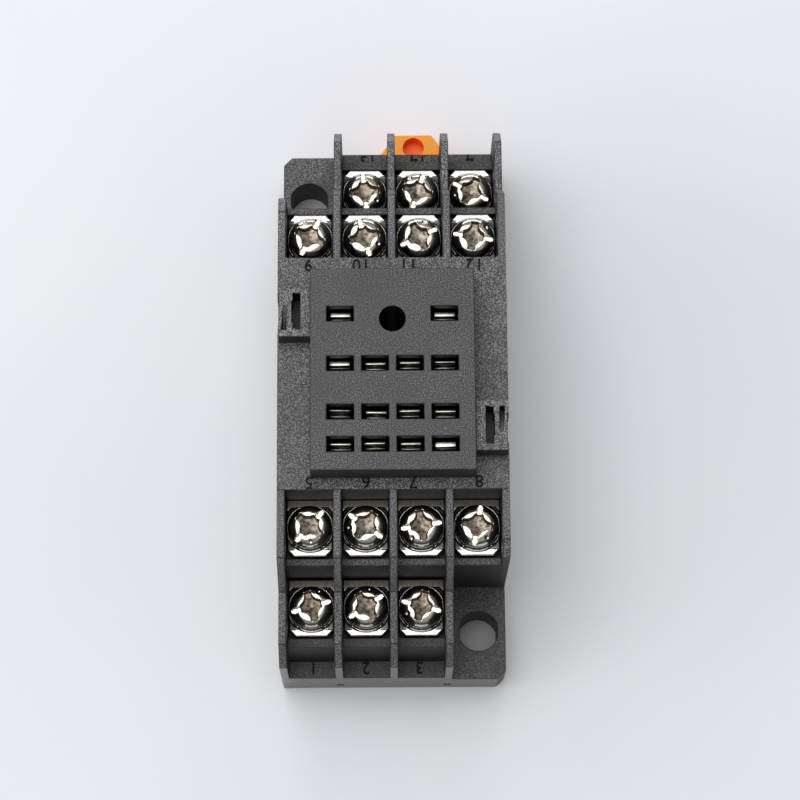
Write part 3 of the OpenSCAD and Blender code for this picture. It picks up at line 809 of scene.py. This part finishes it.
def contact_row_tree(material):
    """Repeats the fork it is given along a row, each a little off true. The tips of the first
    and last may be flared: their leaves are bent over, so more of them shows."""
    tree, given, identifiers = tree_with("contact_row", {
        "Start": "Vector", "Columns": "Int", "Pitch": "Float", "Play": "Float", "Seed": "Int",
        "First Flare": "Float", "Last Flare": "Float"})
    step = add_node(tree, "ShaderNodeCombineXYZ", {"X": given["Pitch"]}).outputs[0]
    row = add_node(tree, "GeometryNodeMeshLine",
                   {"Count": given["Columns"], "Start Location": given["Start"], "Offset": step},
                   mode="OFFSET").outputs[0]
    index = add_node(tree, "GeometryNodeInputIndex").outputs[0]
    last = add_node(tree, "ShaderNodeMath", {0: given["Columns"], 1: -1.0}).outputs[0]
    flare = 0.0
    for place, value in ((0, given["First Flare"]), (last, given["Last Flare"])):
        same = add_node(tree, "ShaderNodeMath", {0: index, 1: place, 2: 0.1},
                        operation="COMPARE").outputs[0]
        flare = add_node(tree, "ShaderNodeMix", {"Factor": same, 2: flare, 3: value}).outputs[0]
    turn = add_node(tree, "FunctionNodeRandomValue",
                    {0: (-0.003, 0.0, -0.02), 1: (0.003, 0.0, 0.02), "Seed": given["Seed"]},
                    data_type="FLOAT_VECTOR").outputs[0]
    forks = add_node(tree, "GeometryNodeInstanceOnPoints",
                     {"Points": row, "Instance": given["Geometry"], "Rotation": turn}).outputs[0]
    play = add_node(tree, "FunctionNodeRandomValue",
                    {0: (-1.0, -0.4, -1.5), 1: (1.0, 0.4, 0.0), "Seed": given["Seed"]},
                    data_type="FLOAT_VECTOR").outputs[0]
    play = add_node(tree, "ShaderNodeVectorMath", {0: play, "Scale": given["Play"]},
                    operation="SCALE").outputs[0]
    forks = add_node(tree, "GeometryNodeTranslateInstances",
                     {"Instances": forks, "Translation": play}).outputs[0]
    forks = add_node(tree, "GeometryNodeStoreNamedAttribute",
                     {"Geometry": forks, "Name": "flare", "Value": flare},
                     data_type="FLOAT", domain="INSTANCE").outputs[0]
    real = add_node(tree, "GeometryNodeRealizeInstances", {"Geometry": forks}).outputs[0]
    tip, flare = (add_node(tree, "GeometryNodeInputNamedAttribute", {"Name": name},
                           data_type="FLOAT").outputs[0] for name in ("tip", "flare"))
    widen = add_node(tree, "ShaderNodeMath", {0: tip, 1: flare}, operation="MULTIPLY").outputs[0]
    widen = add_node(tree, "ShaderNodeVectorMath", {0: (0, -1, 0), "Scale": widen},
                     operation="SCALE").outputs[0]
    real = add_node(tree, "GeometryNodeSetPosition",
                    {"Geometry": real, "Offset": widen}).outputs[0]
    real = add_node(tree, "GeometryNodeSetMaterial",
                    {"Geometry": real, "Material": material}).outputs[0]
    add_node(tree, "NodeGroupOutput", {0: real})
    return tree, identifiers


# Flare of the first and last fork's tip in each row, in millimetres, and the row's seed.
CONTACT_ROWS = ((0.0, 0.42, 3), (-0.15, 0.0, 5), (0.32, -0.12, 8), (0.28, 0.28, 11))

row_tree, row_sockets = contact_row_tree(LEAF)
for k, (first, last, seed) in enumerate(CONTACT_ROWS, 1):
    low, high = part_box("contact_clips_%02d" % k)
    middle = (low.y + high.y) / 2
    columns = 2 if k == 4 else 4
    pitch = CONTACT_PITCH * (3 if k == 4 else 1)
    name = "fork_contacts_%02d" % k
    forks = new_object(name, fork_mesh(name), LEAF)
    grown(forks, row_tree, row_sockets, {
        "Start": Vector((-1.5 * CONTACT_PITCH * MM, middle, 0)), "Columns": columns,
        "Pitch": pitch * MM, "Play": 0.12 * MM, "Seed": seed, "First Flare": first * MM,
        "Last Flare": last * MM})
    add_piece(forks, "base", "contact_bronze", "contact_clips_%02d" % k)

# ---- latch spring, plate screw and numbers ----

spring = rounded_copy("latch_zigzag_spring", "latch_spring", 0.1, ORANGE)
add_piece(spring, "base", "orange_plastic", "latch_spring")
low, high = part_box("latch_spring")
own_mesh(spring)

low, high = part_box("plate_screw")
PLATE_HEAD_H = 1.9
name = "plate_fixing_screw"
fixing = new_object(name, screw_mesh(name, Vector(), 0.4), ZINC)
fixing.data.transform(
    Matrix.Translation(((low.x + high.x) / 2, (low.y + high.y) / 2, low.z + PLATE_HEAD_H * MM))
    @ Matrix.Diagonal((1, -1, -PLATE_HEAD_H / HEAD_H, 1)))
add_piece(fixing, "base", "zinc_steel", "plate_screw")


def number_tree(material):
    """Raised figures from a string, standing up from the base plane."""
    tree, given, identifiers = tree_with("raised_number", {
        "Number": "String", "Size": "Float", "Rise": "Float"})
    curves = add_node(tree, "GeometryNodeStringToCurves",
                      {"String": given["Number"], "Size": given["Size"],
                       "Character Spacing": 1.05}, align_x="CENTER", align_y="MIDDLE").outputs[0]
    curves = add_node(tree, "GeometryNodeRealizeInstances", {"Geometry": curves}).outputs[0]
    flat = add_node(tree, "GeometryNodeFillCurve", {"Curve": curves}).outputs[0]
    up = add_node(tree, "ShaderNodeCombineXYZ", {"Z": given["Rise"]}).outputs[0]
    raised = add_node(tree, "GeometryNodeExtrudeMesh",
                      {"Mesh": flat, "Offset": up, "Offset Scale": 1.0, "Individual": False})
    under = add_node(tree, "GeometryNodeFlipFaces", {"Mesh": flat}).outputs[0]
    joined = add_node(tree, "GeometryNodeJoinGeometry").inputs[0]
    tree.links.new(raised.outputs[0], joined)
    tree.links.new(under, joined)
    closed = add_node(tree, "GeometryNodeMergeByDistance",
                      {"Geometry": joined.node.outputs[0], "Distance": 0.001 * MM}).outputs[0]
    closed = add_node(tree, "GeometryNodeRealizeInstances", {"Geometry": closed}).outputs[0]
    closed = add_node(tree, "GeometryNodeSetMaterial",
                      {"Geometry": closed, "Material": material}).outputs[0]
    add_node(tree, "NodeGroupOutput", {0: closed})
    return tree, identifiers


# Middles of the moulded terminal numbers, in millimetres from the middle of the base.
NUMBERS = ((1, -10.4, -34.4), (2, -3.6, -34.4), (3, 3.3, -34.4), (4, 10.7, 34.95),
           (5, -10.5, -14.2), (6, -3.4, -14.2), (7, 2.5, -14.2), (8, 10.7, -14.1),
           (9, -10.6, 14.2), (10, -3.9, 14.2), (11, 2.1, 14.2), (12, 10.5, 14.2),
           (13, -3.1, 34.95), (14, 3.7, 34.95))
NUMBER_SIZE = 2.25
NUMBER_RISE = 0.14
SUNK = 0.03


def moulded_numbers():
    """All numbers as one piece, each flat on the surface below it and read from the far end."""
    tree, identifiers = number_tree(FIGURES)
    surface = bmesh.new()
    surface.from_mesh(housing.data)
    skin = BVHTree.FromBMesh(surface)
    surface.free()
    figures = bmesh.new()
    for number, x, y in NUMBERS:
        maker = new_object("number_maker", bpy.data.meshes.new("number_maker"), FIGURES)
        grown(maker, tree, identifiers, {
            "Number": str(number), "Size": NUMBER_SIZE * MM, "Rise": (NUMBER_RISE + SUNK) * MM})
        above = Vector((x * MM, y * MM, cad_bounds[1][2] + 0.01))
        spot, normal, _, _ = skin.ray_cast(above, Vector((0, 0, -1)))
        lean = Vector((0, 0, 1)).rotation_difference(normal).to_matrix().to_4x4()
        maker.data.transform(Matrix.Translation(spot - normal * SUNK * MM) @ lean
                             @ Matrix.Rotation(math.pi, 4, "Z"))
        figures.from_mesh(maker.data)
        bpy.data.objects.remove(maker)
    mesh = bpy.data.meshes.new("moulded_numbers")
    figures.to_mesh(mesh)
    figures.free()
    return new_object("moulded_numbers", mesh, FIGURES)


add_piece(moulded_numbers(), "base", "black_plastic")

# ---- studio ----

CAMERA_AZIMUTH = math.radians(-0.696)
CAMERA_HEIGHT = math.radians(75.357)
CAMERA_ROLL = math.radians(0.348)
CAMERA_DISTANCE = 0.367533
LENS_MM = 122.6
SENSOR_MM = 36
LENS_SHIFT = (0.0097, 0.0303)


def add_camera():
    back = Vector((math.sin(CAMERA_AZIMUTH) * math.cos(CAMERA_HEIGHT),
                   -math.cos(CAMERA_AZIMUTH) * math.cos(CAMERA_HEIGHT),
                   math.sin(CAMERA_HEIGHT)))
    right = Vector((math.cos(CAMERA_AZIMUTH), math.sin(CAMERA_AZIMUTH), 0))
    up = back.cross(right)
    turned = Matrix.Rotation(CAMERA_ROLL, 3, back)
    right, up = turned @ right, turned @ up
    lens = bpy.data.cameras.new("camera")
    lens.lens = LENS_MM
    lens.sensor_width = SENSOR_MM
    lens.shift_x, lens.shift_y = LENS_SHIFT
    lens.clip_start = 0.01
    camera = bpy.data.objects.new("camera", lens)
    camera.matrix_world = (Matrix.Translation(back * CAMERA_DISTANCE)
                           @ Matrix((right, up, back)).transposed().to_4x4())
    bpy.context.scene.collection.objects.link(camera)
    bpy.context.scene.camera = camera


def add_softbox(name, azimuth, height, distance, width, depth, power):
    """Flat area lamp that faces the middle of the base. The angles are in degrees: azimuth
    from +X towards +Y, height above the table. Width runs level, depth up the lamp."""
    lamp = bpy.data.lights.new(name, "AREA")
    lamp.shape = "RECTANGLE"
    lamp.size = width
    lamp.size_y = depth
    lamp.energy = power
    box = bpy.data.objects.new(name, lamp)
    azimuth, height = math.radians(azimuth), math.radians(height)
    place = distance * Vector((math.cos(azimuth) * math.cos(height),
                               math.sin(azimuth) * math.cos(height), math.sin(height)))
    aim = place.to_track_quat("Z", "Y").to_matrix().to_4x4()
    box.matrix_world = Matrix.Translation(place) @ aim
    bpy.context.scene.collection.objects.link(box)


FILL_STRENGTH = 2.0


def add_world():
    """Room: for matt surfaces a soft fill that comes mostly from low down, and for the camera
    and shiny surfaces a grey room that gets paler towards the ceiling."""
    world = bpy.data.worlds.new("pale_room")
    bpy.context.scene.world = world
    world.use_nodes = True
    tree = world.node_tree
    tree.nodes.clear()
    direction = add_node(tree, "ShaderNodeTexCoord").outputs["Generated"]
    height = add_node(tree, "ShaderNodeSeparateXYZ", {0: direction}).outputs["Z"]
    room = add_node(tree, "ShaderNodeValToRGB", {"Fac": height}, stops=(
        (0.0, "#464648"), (0.4, "#58585a"), (0.7, "#a0a0a2"), (0.9, "#b0b0b2"))).outputs["Color"]
    path = add_node(tree, "ShaderNodeLightPath").outputs
    seen = add_node(tree, "ShaderNodeMath",
                    {0: path["Is Camera Ray"], 1: path["Is Glossy Ray"]}, operation="MAXIMUM")
    seen = add_node(tree, "ShaderNodeMath",
                    {0: seen.outputs[0], 1: path["Is Transmission Ray"]}, operation="MAXIMUM")
    fill = add_node(tree, "ShaderNodeValToRGB", {"Fac": height}, stops=(
        (0.0, "#e6e7ea"), (0.42, "#dcdde0"), (0.58, "#262628"), (1.0, "#18181a"))).outputs["Color"]
    shade = add_node(tree, "ShaderNodeMix", {"Factor": seen.outputs[0], 6: fill, 7: room},
                     data_type="RGBA").outputs[2]
    strength = add_node(tree, "ShaderNodeMix",
                        {"Factor": seen.outputs[0], 2: FILL_STRENGTH, 3: 1.0}).outputs[0]
    light = add_node(tree, "ShaderNodeBackground", {"Color": shade, "Strength": strength})
    add_node(tree, "ShaderNodeOutputWorld", {"Surface": light.outputs[0]})


def matt_white_table():
    """Matt laminate table, pressed: plain off-white with a trace of unevenness."""
    material, tree = new_material("matt_white_laminate")
    shade, _ = mottled(tree, 60.0, (0.3, "#eaebef"), (0.7, "#eeeff2"))
    finish_material(tree, None, Base_Color=shade, Roughness=0.6)
    return material


def add_floor():
    shape = bmesh.new()
    bmesh.ops.create_grid(shape, x_segments=1, y_segments=1, size=2.5)
    mesh = bpy.data.meshes.new("table_top")
    shape.to_mesh(mesh)
    shape.free()
    mesh.transform(Matrix.Translation((0, 0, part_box("housing")[0].z)))
    new_object("table_top", mesh, matt_white_table())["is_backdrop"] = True


add_camera()
add_world()
add_floor()
add_softbox("overhead_softbox", 150, 75, 0.9, 0.88, 0.84, 4.8)
add_softbox("far_strip_light", 95, 21, 0.65, 0.62, 0.18, 1.15)
add_softbox("left_strip_light", 188, 10, 1.2, 1.2, 0.32, 8.0)
bpy.context.scene.view_settings.view_transform = "Standard"

low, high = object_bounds()
